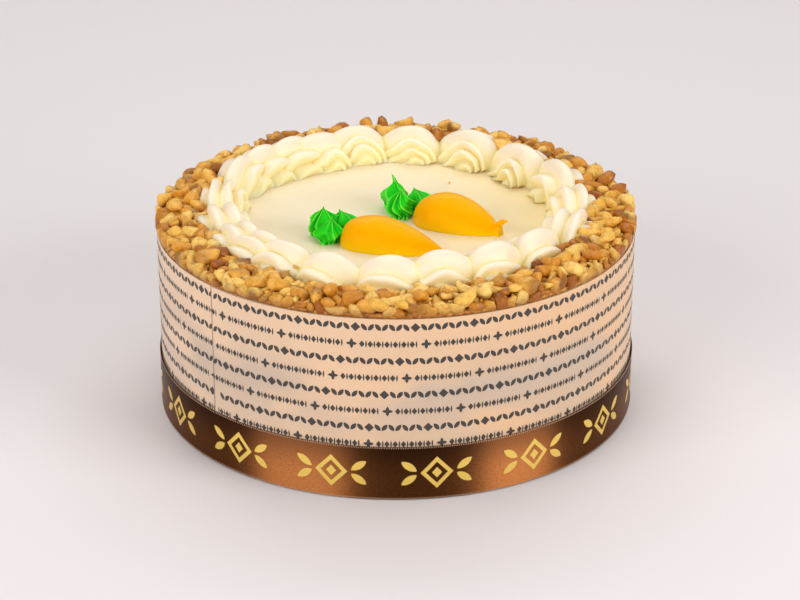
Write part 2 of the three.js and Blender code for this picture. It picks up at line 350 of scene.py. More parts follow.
def links(mesh):
    """The points of a mesh in millimetres, and the two ends of each link between neighbours, each
    link once from either side, with the number of links of each point."""
    points = np.empty(3 * len(mesh.vertices))
    mesh.vertices.foreach_get("co", points)
    edges = np.empty(2 * len(mesh.edges), np.int64)
    mesh.edges.foreach_get("vertices", edges)
    one, other = edges.reshape(-1, 2).T
    here, there = np.concatenate([one, other]), np.concatenate([other, one])
    return points.reshape(-1, 3) / MM, here, there, np.maximum(np.bincount(here), 1)


def soften(mesh, steps):
    """Rounds off sharp valleys and edges: each point goes halfway to the mean of its neighbours, a
    few times over."""
    points, here, there, count = links(mesh)
    for _ in range(steps):
        mean = np.stack([np.bincount(here, points[there, axis]) / count for axis in range(3)], -1)
        points = 0.5 * (points + mean)
    mesh.vertices.foreach_set("co", (points * MM).ravel())
    mesh.update()


def mark_hollows(mesh, steps=6):
    """Gives each point of a mesh a number, hollow: how far its neighbours stand above it along its
    normal, divided by the square of the distance to them, in millimetres, and averaged with its
    neighbours' a few times over. It is positive in a crease and negative on a ridge."""
    points, here, there, count = links(mesh)
    normals = np.empty(3 * len(points))
    mesh.vertex_normals.foreach_get("vector", normals)
    step = points[there] - points[here]
    length = np.maximum(np.linalg.norm(step, axis=1), 0.05)
    rise = (step * normals.reshape(-1, 3)[here]).sum(1)
    hollow = np.bincount(here, rise / length**2) / count
    for _ in range(steps):
        hollow = 0.5 * hollow + 0.5 * np.bincount(here, hollow[there]) / count
    set_number(mesh, "hollow", hollow)


def colour(code):
    """An sRGB hex colour as linear red, green, blue and alpha."""
    shares = [int(code[i : i + 2], 16) / 255 for i in (1, 3, 5)]
    return (*[s / 12.92 if s <= 0.04045 else ((s + 0.055) / 1.055) ** 2.4 for s in shares], 1)


def new_material(name):
    """A material with an empty node tree."""
    material = bpy.data.materials.new(name)
    material.use_nodes = True
    material.node_tree.nodes.clear()
    return material


# A mix node's two colours are its inputs 6 and 7, and the colour that it gives is its output 2
COLOURS = {"output": 2, "data_type": "RGBA"}
EASED = {"interpolation_type": "SMOOTHSTEP"}


def add_node(look, kind, inputs=(), output=0, stops=(), **settings):
    """Adds a shader node with its settings, and returns the output that is asked for. Each input
    is set to a value or a hex colour, or linked to another node's output. stops are a colour
    ramp's: places, each with a hex colour or a share of white."""
    tree = look.node_tree
    node = tree.nodes.new("ShaderNode" + kind)
    for name, value in settings.items():
        setattr(node, name, value)
    for name, value in dict(inputs).items():
        if isinstance(value, bpy.types.NodeSocket):
            tree.links.new(value, node.inputs[name])
        else:
            node.inputs[name].default_value = colour(value) if isinstance(value, str) else value
    elements = node.color_ramp.elements if stops else []
    while len(elements) < len(stops):
        elements.new(0.5)
    for element, (at, tint) in zip(elements, stops):
        element.position = at
        element.color = colour(tint) if isinstance(tint, str) else (tint, tint, tint, 1)
    return node.outputs[output] if len(node.outputs) else None


def shade(look, glow=None, **inputs):
    """Adds the principled shader, with its inputs' names written with underscores, and the
    output, and returns the material. glow is how much light goes under the surface, how far each
    colour of it goes, and the scale of that in metres."""
    if glow:
        inputs.update(zip(("Subsurface_Weight", "Subsurface_Radius", "Subsurface_Scale"), glow))
    named = {key.replace("_", " "): value for key, value in inputs.items()}
    add_node(look, "OutputMaterial", {"Surface": add_node(look, "BsdfPrincipled", named)})
    return look


def mottling(look, size_mm, detail=3.0, stretch=(1, 1, 1)):
    """An uneven pattern over Object coordinates, whose lumps are about size_mm across."""
    spot = add_node(look, "TexCoord", output="Object")
    scale = [s / (size_mm * MM) for s in stretch]
    spot = add_node(look, "Mapping", {"Vector": spot, "Scale": scale})
    return add_node(look, "TexNoise", {"Vector": spot, "Scale": 1, "Detail": detail})


def object_level(look, axis):
    """How far along X, Y or Z a point lies, in metres."""
    return add_node(look, "SeparateXYZ", {"Vector": add_node(look, "TexCoord", output="Object")}, axis)


def piped_buttercream():
    """Buttercream piped through a star tip: dense, a little waxy, and so pale that light goes to
    and fro inside its creases, and between its foot and the icing, and comes out yellow. That
    yellow is painted into its colour, as painted bounce light: in the creases, and low down near
    the icing."""
    look = new_material("piped_buttercream")
    # Painted bounce light: the creases are painted yellower than the crowns
    hollow = add_node(look, "Attribute", output="Fac", attribute_name="hollow")
    crease = add_node(look, "MapRange", {"Value": hollow, "From Min": -0.08, "From Max": 0.28}, **EASED)
    crown_to_crease_bounce = [(0, "#FEE6CD"), (0.5, "#FFECC0"), (1, "#FFE8A0")]
    base = add_node(look, "ValToRGB", {"Fac": crease}, stops=crown_to_crease_bounce)
    # Painted bounce light: the lowest 13 mm, near the icing, are painted yellower
    foot = {"Value": object_level(look, "Z"), "From Min": (TOPPING_FLOOR + 13) * MM}
    foot = add_node(look, "MapRange", {**foot, "From Max": TOPPING_FLOOR * MM}, **EASED)
    base = add_node(look, "Mix", {0: foot, 6: base, 7: "#FFEBAE"}, **COLOURS)
    grain = {"Height": mottling(look, 1.6, 4), "Distance": 0.06 * MM, "Strength": 0.5}
    return shade(
        look,
        glow=(0.7, (1, 0.93, 0.62), 0.006),
        Base_Color=base,
        Roughness=0.42,
        IOR=1.45,
        Normal=add_node(look, "Bump", grain),
    )


def smoothed_icing():
    """Cream cheese icing drawn flat with a palette knife: a soft satin, with faint swept marks. It
    is a little more yellow towards the right."""
    look = new_material("smoothed_icing")
    pale = {0: mottling(look, 34, 2, (1, 2.2, 1)), 6: "#FBEBCC", 7: "#F8E4BF"}
    pale = add_node(look, "Mix", pale, **COLOURS)
    rightwards = {"Value": object_level(look, "X"), "From Min": -10 * MM, "From Max": 90 * MM}
    rightwards = add_node(look, "MapRange", rightwards, **EASED)
    base = add_node(look, "Mix", {0: rightwards, 6: pale, 7: "#FCE3A6"}, **COLOURS)
    sweeps = {"Height": mottling(look, 9, 3, (0.35, 1.6, 1)), "Distance": 0.12 * MM, "Strength": 0.35}
    return shade(
        look,
        glow=(0.4, (1, 0.7, 0.4), 0.003),
        Base_Color=base,
        Roughness=0.4,
        IOR=1.45,
        Normal=add_node(look, "Bump", sweeps),
    )


def orange_buttercream():
    """Buttercream coloured orange: yellower low on its flanks, where light comes back off the
    icing."""
    look = new_material("orange_buttercream")
    low = add_node(look, "Attribute", output="Fac", attribute_name="low")
    low = add_node(look, "MapRange", {"Value": low, "From Min": 0, "From Max": 1}, **EASED)
    base = add_node(look, "Mix", {0: low, 6: "#FFB000", 7: "#FFCE0E"}, **COLOURS)
    ripples = {"Height": mottling(look, 3.5, 4), "Distance": 0.1 * MM, "Strength": 0.4}
    return shade(
        look,
        glow=(0.45, (1, 0.42, 0.08), 0.0025),
        Base_Color=base,
        Roughness=0.34,
        IOR=1.45,
        Specular_IOR_Level=0.28,
        Specular_Tint="#FFC040",
        Normal=add_node(look, "Bump", ripples),
    )


def green_buttercream():
    """Buttercream coloured leaf green, pulled up to thin ridges that let more light through. Its
    colour is painted lighter on the ridges and darker in the creases, as painted light and shade.
    """
    look = new_material("green_buttercream")
    hollow = add_node(look, "Attribute", output="Fac", attribute_name="hollow")
    # Painted light and shade: light green on the ridges, dark green in the creases
    crease = add_node(look, "MapRange", {"Value": hollow, "From Min": -0.5, "From Max": 0.4}, **EASED)
    lit_to_shaded_greens = [(0, "#80F84C"), (0.36, "#20DC1C"), (0.7, "#0CB010"), (1, "#007808")]
    base = add_node(look, "ValToRGB", {"Fac": crease}, stops=lit_to_shaded_greens)
    grain = {"Height": mottling(look, 1.5, 4), "Distance": 0.35 * MM, "Strength": 0.7}
    return shade(
        look,
        glow=(0.25, (0.2, 1, 0.2), 0.0012),
        Base_Color=base,
        Roughness=0.38,
        IOR=1.45,
        Specular_IOR_Level=0.35,
        Specular_Tint="#D0FFA0",
        Normal=add_node(look, "Bump", grain),
    )


def chopped_walnut():
    """Chopped walnut kernels: broken golden flesh with a dull oily sheen, and on some faces the
    thin brown skin. tone is each nut's own shade, skin is how much skin covers it, and deep is
    how far down in the heap it is, where the flesh is painted darker, as painted shade. Thin
    brown veins run where the kernel was folded."""
    look = new_material("chopped_walnut")
    tone = add_node(look, "Attribute", output="Fac", attribute_name="tone")
    tones = [(0, "#F8D074"), (0.45, "#F2BC52"), (0.8, "#DC962E"), (1, "#A65A10")]
    flesh = add_node(look, "ValToRGB", {"Fac": tone}, stops=tones)
    darker = {"Value": mottling(look, 3.2, 2), "From Min": 0.5, "From Max": 0.85}
    darker = add_node(look, "MapRange", darker, **EASED)
    flesh = add_node(look, "Mix", {0: darker, 6: flesh, 7: "#C67C1C"}, **COLOURS)
    veins = [(0.47, "#000000"), (0.5, "#909090"), (0.53, "#000000")]
    veins = add_node(look, "ValToRGB", {"Fac": mottling(look, 5, 3)}, stops=veins)
    flesh = add_node(look, "Mix", {0: veins, 6: flesh, 7: "#8A4F1C"}, **COLOURS)
    # Painted shade: the further down in the heap, the darker the flesh is painted
    deep = add_node(look, "Attribute", output="Fac", attribute_name="deep")
    deep = add_node(look, "ValToRGB", {"Fac": deep}, stops=[(0.15, "#000000"), (0.8, "#CCCCCC")])
    flesh = add_node(look, "Mix", {0: deep, 6: flesh, 7: "#8E480A"}, **COLOURS)
    skin = add_node(look, "Mix", {0: mottling(look, 1.2, 3), 6: "#965414", 7: "#5E2C0C"}, **COLOURS)
    covered = add_node(look, "Attribute", output="Fac", attribute_name="skin")
    base = add_node(look, "Mix", {0: covered, 6: flesh, 7: skin}, **COLOURS)
    lumps = {"Height": mottling(look, 2.8, 1.5), "Distance": 1.1 * MM, "Strength": 0.9}
    return shade(
        look,
        glow=(0.25, (0.9, 0.5, 0.12), 0.002),
        Base_Color=base,
        Roughness=0.38,
        IOR=1.47,
        Specular_IOR_Level=0.38,
        Normal=add_node(look, "Bump", lumps),
    )


def nut_crumbs():
    """Fine walnut crumbs between and under the larger pieces, darker because they lie in shade."""
    look = new_material("nut_crumbs")
    grains = mottling(look, 2, 4)
    browns = [(0.3, "#743C0E"), (0.5, "#AC6820"), (0.7, "#D89A44")]
    base = add_node(look, "ValToRGB", {"Fac": grains}, stops=browns)
    lumps = add_node(look, "Bump", {"Height": grains, "Distance": 0.8 * MM, "Strength": 1})
    return shade(look, Base_Color=base, Roughness=0.6, IOR=1.47, Normal=lumps)


def printed_film():
    """Frosted plastic cake film: a warm tint, deeper towards the right, with duller patches in a
    band across the middle of its height, a thin line along the cut end painted darker as painted
    shade, and a soft gloss."""
    look = new_material("printed_film")
    patches = {"Value": mottling(look, 46, 2, (1, 1, 1.7)), "From Min": 0.32, "From Max": 0.62}
    patches = add_node(look, "MapRange", patches, **EASED)
    surface = add_node(look, "UVMap", uv_map="UVMap")
    upwards = add_node(look, "SeparateXYZ", {"Vector": surface}, "Y")
    levels = [(0, 0.2), (0.35, 0.55), (0.6, 1.0), (0.78, 0.3), (1, 0.0)]
    level = add_node(look, "ValToRGB", {"Fac": upwards}, stops=levels)
    # Duller patches, in a band across the middle of the height
    dull_band = add_node(look, "Math", {0: patches, 1: level}, operation="MULTIPLY")
    rightwards = {"Value": object_level(look, "X"), "From Min": -110 * MM, "From Max": 110 * MM}
    rightwards = add_node(look, "MapRange", rightwards, **EASED)
    film = add_node(look, "Mix", {0: rightwards, 6: "#EDC6A4", 7: "#E9B98C"}, **COLOURS)
    film = add_node(look, "Mix", {0: dull_band, 6: film, 7: "#C9B09A"}, **COLOURS)
    # Painted shade: a thin line along the cut end is painted darker
    cut_edge_shade = add_node(look, "SeparateXYZ", {"Vector": surface}, "X")
    cut_edge_shade = {"Value": cut_edge_shade, "From Min": 0.0015, "From Max": 0.0003}
    cut_edge_shade = add_node(look, "MapRange", cut_edge_shade, **EASED)
    base = add_node(look, "Mix", {0: cut_edge_shade, 6: film, 7: "#8C7460"}, **COLOURS)
    return shade(
        look,
        glow=(0.15, (1, 0.7, 0.4), 0.002),
        Base_Color=base,
        Roughness=0.42,
        IOR=1.5,
        Coat_Weight=0.25,
        Coat_Roughness=0.25,
    )


def printing_ink():
    """Dark grey ink on film: flat, with a little of the film's gloss."""
    look = new_material("printing_ink")
    base = add_node(look, "Mix", {0: mottling(look, 0.8, 2), 6: "#342D2A", 7: "#453E3A"}, **COLOURS)
    return shade(look, Base_Color=base, Roughness=0.5, IOR=1.5)


def satin_cloth():
    """Satin woven of polyester. Its threads run along the ribbon, so that the light they throw back
    is spread up and down and gathered sideways into upright bands. Each float of thread lies over
    the one below it, so that the face it shows leans upwards. They are 0.35 mm apart, drawn at
    0.6 mm so that they show. Towards the upper edge the colour is painted darker, as painted
    shade."""
    look = new_material("satin_cloth")
    surface = add_node(look, "UVMap", uv_map="UVMap")
    scale = (2 * math.pi * RIBBON_RADIUS / THREAD_LENGTH, RIBBON_WIDTH / THREAD_PITCH, 1)
    across = add_node(look, "Mapping", {"Vector": surface, "Scale": scale})
    threads = add_node(look, "TexNoise", {"Vector": across, "Scale": 1, "Detail": 2})
    woven = add_node(look, "MapRange", {"Value": threads, "From Min": 0.3, "From Max": 0.7}, **EASED)
    woven = add_node(look, "Mix", {0: woven, 6: "#6C3F20", 7: "#7E4D2A"}, **COLOURS)
    # Painted shade: the colour is painted darker towards the upper edge
    upper = add_node(look, "SeparateXYZ", {"Vector": surface}, "Y")
    upper = add_node(look, "MapRange", {"Value": upper, "From Min": 0.3, "From Max": 1.1}, **EASED)
    lean = math.radians(FLOAT_LEAN_DEG)
    facing = (0.5, 0.5 + 0.5 * math.sin(lean), 0.5 + 0.5 * math.cos(lean), 1)
    leaning = add_node(look, "NormalMap", {"Color": facing}, uv_map="UVMap")
    along = add_node(look, "Tangent", direction_type="UV_MAP", uv_map="UVMap")
    base = add_node(look, "Mix", {0: upper, 6: woven, 7: "#4E2E1A"}, **COLOURS)
    ridges = {"Height": threads, "Distance": 0.04 * MM, "Strength": 0.4, "Normal": leaning}
    return shade(
        look,
        Base_Color=base,
        Metallic=1,
        Roughness=0.35,
        Anisotropic=0.67,
        Anisotropic_Rotation=0.25,
        Tangent=along,
        Normal=add_node(look, "Bump", ridges),
    )


def gold_foil():
    """Hot stamped gold foil: thin metal that follows the weave, bright but not a mirror."""
    look = new_material("gold_foil")
    weave = {"Height": mottling(look, 0.9, 3), "Distance": 0.05 * MM, "Strength": 0.5}
    weave = add_node(look, "Bump", weave)
    return shade(look, Base_Color="#FFDE74", Metallic=1, Roughness=0.36, Normal=weave)


def edge_thread():
    """The looped edge threads of the ribbon, lighter than its face as they stand out of it."""
    look = new_material("edge_thread")
    base = add_node(look, "Mix", {0: mottling(look, 0.6, 2), 6: "#8A5E42", 7: "#CDA684"}, **COLOURS)
    return shade(look, Base_Color=base, Roughness=0.5, IOR=1.5, Sheen_Weight=0.3)


def baked_sponge():
    """Baked carrot sponge: a brown crumb with small holes and flecks of carrot."""
    look = new_material("baked_sponge")
    crumb = mottling(look, 3, 5)
    browns = [(0.3, "#7E4A22"), (0.55, "#B07638"), (0.75, "#D08A3E")]
    base = add_node(look, "ValToRGB", {"Fac": crumb}, stops=browns)
    holes = add_node(look, "Bump", {"Height": crumb, "Distance": MM, "Strength": 1})
    return shade(look, Base_Color=base, Roughness=0.85, IOR=1.4, Normal=holes)


def lobe_rows(creases):
    """The rows across a shell, from one foot to the other: each row's lift in degrees from the
    ridge line, and its crease depth, 0 on the crown of a lobe and up to 1 in a crease. A first
    crease at 0 parts the top lobe along the ridge line. The depth is one less a sine whose crest
    lies nearer the foot, so that each lobe hangs over the next one a little, like shingles. The
    last crease is a pocket at the foot of the flank, which the lobes run round."""
    first, low_depth = creases[0]
    lifts = [0.0]
    depths = [0.0 if first else low_depth]
    low = -first
    for high, depth in creases if first else creases[1:]:
        start = max(low, 0)
        for lift in np.linspace(start, high, round((high - start) / DEGREES_A_ROW) + 1)[1:]:
            phase = (lift - low) / (high - low)
            skewed = phase if low < 0 else phase**1.3
            lifts.append(lift)
            depths.append((1 - math.sin(math.pi * min(skewed, 1))) * blend(low_depth, depth, phase))
        low, low_depth = high, depth
    mirrored = [-lift for lift in lifts[:0:-1]]
    return np.array(mirrored + lifts), np.array(depths[:0:-1] + depths)


def shell_mesh(number, bearing, shift, rise_more, inner_more, pattern):
    """One piped shell: a dome whose poles are at the feet of its flanks, so that its lobes run
    round them in nested arches, steep at the head and drawn out long at the tail, where they dip.
    turn goes from the head's foot over the top to the tail's, and lift from flank to flank. The
    lobes wander as they go, their feet flow out ahead, and all of it follows the ring of the
    border."""
    lift_deg, crease = lobe_rows(LOBE_PATTERNS[pattern])
    turn = np.linspace(0, math.pi, SHELL_TURNS + 1)[None, :]
    size = 1 + SHELL_UNEVEN * either_way(number, 1)
    yaw = math.radians(SHELL_YAW_DEG) * either_way(number, 2)
    forward = np.cos(turn)
    fixed = np.sin(np.radians(2 * lift_deg))[:, None]
    wander = 3.5 * wave(number, 11, 2.4 * turn) + 2 * wave(number, 12, 4.6 * turn)
    wander = wander + 3 * either_way(number, 16)
    drop = TAIL_DROP_DEG * blend(0.6, 1.3, uneven(number, 17)) * smooth_step(0, 0.8, -forward)
    moved = lift_deg[:, None] + wander * np.abs(fixed) * fixed
    moved = moved + drop * np.sign(fixed) * np.abs(fixed) ** 0.8
    lift = np.radians(np.clip(moved, -90, 90))
    depth = CREASE_DEPTH * (1 + 0.2 * either_way(number, 13)) * (0.75 + 0.25 * np.sin(turn) ** 0.5)
    pole = np.cos(lift)
    lumps = wave(number, 14, 2.7 * turn + 3.1 * lift) * np.sin(1.9 * turn - 2.3 * lift)
    pocket = smooth_step(70, 90, np.abs(lift_deg))[:, None]
    swell = 1 - blend(depth * crease[:, None], POCKET_DEPTH, pocket) + 0.025 * lumps * pole
    rho = pole * swell
    rise = np.sin(turn) ** 0.9
    tail = SHELL_BODY + (SHELL_TAIL - SHELL_BODY) * (1 - rise) ** 2
    reach = np.where(forward > 0, SHELL_HEAD * rho, tail * rho**TAIL_SPREAD) * size
    pinch = np.where(forward > 0, 1, 1 - TAIL_PINCH * forward**2 * rho)
    flow = SHELL_FLOW * uneven(number, 15) * (1 - rise) ** 2 * np.clip(forward, 0, None) * pole
    along = reach * np.sign(forward) * np.abs(forward) ** 0.92 + POLE_SHIFT * (1 - rho) + flow
    outer_more = SHELL_FRONT_MORE * max(0, -math.sin(math.radians(bearing)))
    half_width = SHELL_HALF_WIDTH + np.where(lift_deg[:, None] < 0, inner_more, outer_more)
    across = half_width * size * np.sin(lift) * swell * pinch
    ahead = along * math.cos(yaw) - across * math.sin(yaw)
    outward = along * math.sin(yaw) + across * math.cos(yaw)
    radius = SHELL_RING_RADIUS + shift + outward
    angle = math.radians(bearing) - ahead / SHELL_RING_RADIUS
    height = SHELL_HEIGHT + rise_more
    level = TOPPING_FLOOR - PIPED_SINK + (height + PIPED_SINK) * rho * rise
    points = polar(radius, angle, level)
    return mesh_of(f"shell_{number}", points, grid_faces(*points.shape[:2]))


def piped_border():
    mesh = fused("piped_shells", [shell_mesh(number, *shell) for number, shell in enumerate(SHELLS)])
    soften(mesh, 4)
    mark_hollows(mesh, 12)
    place(mesh, piped_buttercream(), ["piped_border"], sharp_deg=50)


def shell_heights(x, y):
    """Height of the border above its floor at each place, from a plain dome for each shell."""
    bearing = np.degrees(np.arctan2(y, x))
    radius = np.hypot(x, y)
    top = np.zeros_like(radius)
    for crown, shift, rise_more, *_ in SHELLS:
        ahead = np.radians((crown - bearing + 180) % 360 - 180) * SHELL_RING_RADIUS
        reach = np.where(ahead > 0, SHELL_HEAD, SHELL_BODY)
        square = (ahead / reach) ** 2 + ((radius - SHELL_RING_RADIUS - shift) / SHELL_HALF_WIDTH) ** 2
        top = np.maximum(top, (SHELL_HEIGHT + rise_more) * np.sqrt(np.clip(1 - square, 0, None)))
    return top


def heap_share(radius):
    """How far out on the heap a radius lies, from 0 at its inner edge to 1 at its outer edge."""
    return (radius - HEAP_RADII[0]) / (HEAP_RADII[1] - HEAP_RADII[0])


def nut_places():
    """The middle of each nut, by settling: the nuts start spread evenly over the heap, then push
    apart where two are closer than their sizes, sink, and keep off the icing, the shells and the
    collar, over and over."""
    number = np.arange(NUT_COUNT)
    half_length = blend(2.7, 6.4, uneven(number, 21))
    slim = blend(0.44, 0.85, uneven(number, 22))
    half_width = np.clip(half_length * slim, 1.9, 3.9)
    size = (half_length * half_width**2) ** (1 / 3)
    bearing = 2 * math.pi * (number * 0.7548776662 % 1)
    radius = blend(92, 111, number * 0.569840291 % 1)
    height = blend(*HEAP_HEIGHTS, heap_share(radius)) * blend(0.4, 1.0, uneven(number, 23))
    middle = polar(radius, bearing, height)
    for _ in range(70):
        gap = middle[:, None] - middle[None]
        far = np.linalg.norm(gap, axis=-1) + 1e-6
        need = 0.8 * (size[:, None] + size[None])
        push = np.clip(need - far, 0, None)
        np.fill_diagonal(push, 0)
        middle += 0.35 * (gap / far[..., None] * push[..., None]).sum(1)
        middle[:, 2] -= 0.12
        out = np.hypot(middle[:, 0], middle[:, 1])
        share = np.clip(heap_share(out), 0, 1)
        core = blend(*HEAP_CORE_HEIGHTS, share)
        floor = np.where(out > HEAP_CORE_RADII[0], core, 0) + 0.35 * size
        floor = np.maximum(floor, shell_heights(middle[:, 0], middle[:, 1]) + 0.45 * size)
        low = middle[:, 2] < floor
        middle[low, 2] += 0.5 * (floor - middle[:, 2])[low]
        ceiling = blend(*HEAP_HEIGHTS, share) + 0.2 * size
        ceiling = ceiling + HEAP_BULGE * np.sin(math.pi * share)
        around = np.arctan2(middle[:, 1], middle[:, 0])
        back = np.sin(around)
        more = HEAP_BACK_MORE * np.clip(back, 0, 1) - HEAP_FRONT_LESS * np.clip(-back, 0, 1)
        more = more + 0.6 * np.sin(5 * around + 1) * np.sin(3 * around)
        ceiling = ceiling + more * (1 - share)
        slide = np.where(floor > ceiling, 0.6, 0)
        middle[:, 2] = np.minimum(middle[:, 2], ceiling)
        limit = np.minimum(out + slide, NUT_LIMIT_RADIUS - 0.3 * size)
        middle[:, :2] *= (limit / out)[:, None]
    return middle, half_length, half_width


def turned_frames(number):
    """A turning for each nut: a roll about its length, a tilt and a bearing, as three axes."""
    roll = 2 * math.pi * uneven(number, 31)
    tilt = 0.5 * either_way(number, 32) ** 3 + 0.2 * either_way(number, 33)
    spin = 2 * math.pi * uneven(number, 34)
    long = polar(np.cos(tilt), spin, np.sin(tilt))
    side = np.stack([-np.sin(spin), np.cos(spin), 0 * spin], -1)
    up = np.cross(long, side)
    along, across = np.cos(roll)[:, None], np.sin(roll)[:, None]
    return long, side * along + up * across, up * along - side * across


def icosphere(detail):
    """Points and triangles of a round ball of triangles."""
    shape = bmesh.new()
    bmesh.ops.create_icosphere(shape, subdivisions=detail, radius=1)
    points = np.array([v.co[:] for v in shape.verts])
    faces = np.array([[v.index for v in f.verts] for f in shape.faces])
    shape.free()
    return points, faces


def directions(number, quality):
    """An uneven direction in space for each number."""
    level = either_way(number, quality + 10)
    return polar(np.sqrt(1 - level**2), 2 * math.pi * uneven(number, quality), level)


def chopped_shapes(ball, number):
    """A piece of nut for each number: a rounded block with lumps on it, whose sides are taken off
    by flat cuts in uneven directions, as a knife does."""
    shape = np.repeat(ball[None], len(number), axis=0)
    for lump, waves in enumerate((2.6, 4.6)):
        along = np.einsum("vk,nk->nv", ball, directions(number, 141 + lump))
        shape = shape * (1 + 0.2 * wave(number[:, None], 161 + lump, waves * along))[..., None]
    for cut in range(NUT_CUTS):
        way = directions(number, 41 + cut)
        depth = blend(0.72, 1.3, uneven(number, 61 + cut))
        beyond = np.clip(np.einsum("nvk,nk->nv", shape, way) - depth[:, None], 0, None)
        shape = shape - 0.92 * beyond[..., None] * way[:, None]
    return shape


def keep_within(points, limit):
    """Draws in the points that are further out than a limit, and returns how far out each was."""
    out = np.hypot(points[..., 0], points[..., 1])
    points[..., :2] *= np.minimum(1, limit / out)[..., None]
    return out


def walnut_rim(material):
    """All the chopped nuts as one mesh. Each is stretched, waisted and bent like a piece of a
    kernel, turned and laid in its place, and its edges are worn round. Nothing of it reaches past
    the collar or into the icing."""
    ball, triangles = icosphere(2)
    ball = ball / (np.abs(ball) ** NUT_SQUARENESS).sum(-1, keepdims=True) ** (1 / NUT_SQUARENESS)
    number = np.arange(NUT_COUNT)
    middle, half_length, half_width = nut_places()
    shape = chopped_shapes(ball, number)
    waist_at = 0.7 * either_way(number, 71)[:, None]
    waist = np.exp(-(((shape[..., 0] - waist_at) / 0.35) ** 2))
    waist = 1 - 0.32 * uneven(number, 72)[:, None] * waist
    bend = (1.0 * uneven(number, 73) ** 1.5 * half_length / 6)[:, None]
    long = shape[..., 0] * half_length[:, None]
    wide = shape[..., 1] * half_width[:, None] * waist
    thick = shape[..., 2] * (half_width * blend(0.7, 1.0, uneven(number, 74)))[:, None] * waist
    thick = thick - bend * shape[..., 0] ** 2 * half_width[:, None]
    axes = turned_frames(number)
    points = sum(part[..., None] * axis[:, None] for part, axis in zip((long, wide, thick), axes))
    points = points + middle[:, None]
    points[..., 2] = np.maximum(points[..., 2], 0.05) + TOPPING_FLOOR
    over_rim = NUT_OVERHANG * smooth_step(RIM + 0.1, RIM + 1, points[..., 2])
    out = keep_within(points, NUT_LIMIT_RADIUS + over_rim)
    skin_way = polar(1, 2 * math.pi * uneven(number, 81), either_way(number, 82))
    facing = np.einsum("vk,nk->nv", ball, skin_way)
    covered = blend(0.35, 0.95, uneven(number, 85)) * (uneven(number, 83) < 0.38)
    cover = blend(*HEAP_HEIGHTS, np.clip(heap_share(out), 0, 1)) + 3
    values = {
        "skin": smooth_step(0.2, 0.8, facing) * covered[:, None],
        "tone": np.repeat(uneven(number, 84), len(ball)),
        # Painted shade: how far below the top of the heap each point lies
        "deep": np.clip(1 - (points[..., 2] - TOPPING_FLOOR) / cover, 0, 1),
    }
    faces = copied(triangles, len(ball), NUT_COUNT)
    mesh = mesh_of("chopped_nuts", points, faces, values=values)
    soften(mesh, 1)
    place(mesh, material, ["walnut_rim"], sharp_deg=72)


def fine_crumbs(material):
    """Fine crumbs of the nuts, as balls with a few faces, drawn out and squashed unevenly. Most lie
    at the outer edge of the heap, up to the collar, and one has dropped on the icing."""
    ball, triangles = icosphere(1)
    number = np.arange(CRUMB_COUNT)
    size = blend(0.5, 1.5, uneven(number, 171) ** 1.5)
    bearing = 2 * math.pi * uneven(number, 172)
    outer = HEAP_CORE_RADII[1] - 0.6 - size
    radius = blend(103.0, outer, uneven(number, 173) ** 0.35)
    share = (radius - HEAP_CORE_RADII[0]) / (HEAP_CORE_RADII[1] - HEAP_CORE_RADII[0])
    height = blend(*HEAP_CORE_HEIGHTS, share) + 0.5 * size + 1.8 * uneven(number, 174) ** 2
    dropped = number < len(DROPPED_CRUMBS)
    x, y = radius * np.cos(bearing), radius * np.sin(bearing)
    x[dropped], y[dropped] = np.array(DROPPED_CRUMBS, float).T
    size[dropped] = 0.7
    height[dropped] = 0.1
    stretch = blend(0.7, 1.4, uneven(number[:, None] + 0.1 * np.arange(3), 175))
    shape = ball[None] * (stretch * size[:, None])[:, None]
    dents = uneven(np.arange(len(ball))[None] + 50 * number[:, None], 176)
    shape = shape * blend(0.75, 1.1, dents)[..., None]
    points = shape + np.stack([x, y, height + TOPPING_FLOOR], -1)[:, None]
    points[..., 2] = np.maximum(points[..., 2], ICING_TOP - PIPED_SINK)
    keep_within(points, NUT_LIMIT_RADIUS)
    skinned = ~dropped & (uneven(number, 178) < 0.12)
    values = {"skin": np.repeat(skinned, len(ball)), "tone": np.repeat(uneven(number, 177), len(ball))}
    faces = copied(triangles, len(ball), CRUMB_COUNT)
    mesh = mesh_of("fine_nut_crumbs", points, faces, values=values)
    place(mesh, material, sharp_deg=42)


def heap_core():
    """The ring of crumbs that the nuts lie on: a closed ring with a sloping, lumpy top, which ends
    at the collar."""
    turns, steps = 360, 10
    angle = np.linspace(0, 2 * math.pi, turns, endpoint=False)[:, None]
    share = np.linspace(0, 1, steps)[None, :]
    lumps = np.sin(41 * angle + 9 * share) * np.sin(67 * angle - 5 * share)
    lumps = lumps + 0.6 * np.sin(103 * angle + 14 * share)
    top = blend(*HEAP_CORE_HEIGHTS, share) + 0.45 * lumps * np.sin(math.pi * np.clip(share * 1.1, 0, 1))
    radius = np.concatenate([blend(*HEAP_CORE_RADII, share), [HEAP_CORE_RADII[::-1]]], 1)
    height = TOPPING_FLOOR + np.concatenate([np.maximum(top, 0.3), np.zeros((turns, 2))], 1)
    faces = grid_faces(turns, steps + 2, round_rows=True)
    mesh = mesh_of("nut_crumb_bed", polar(radius, angle, height), faces)
    place(mesh, nut_crumbs(), ["walnut_rim"])


def curve_at(line, share):
    """A curve drawn by its head, its bend and its tip, and its heading: the quadratic Bezier."""
    head, bend, tip = (np.array(p, float) for p in line)
    share = share[..., None]
    at = (1 - share) ** 2 * head + 2 * share * (1 - share) * bend + share**2 * tip
    heading = 2 * (1 - share) * (bend - head) + 2 * share * (tip - bend)
    return at, heading / np.linalg.norm(heading, axis=-1, keepdims=True)


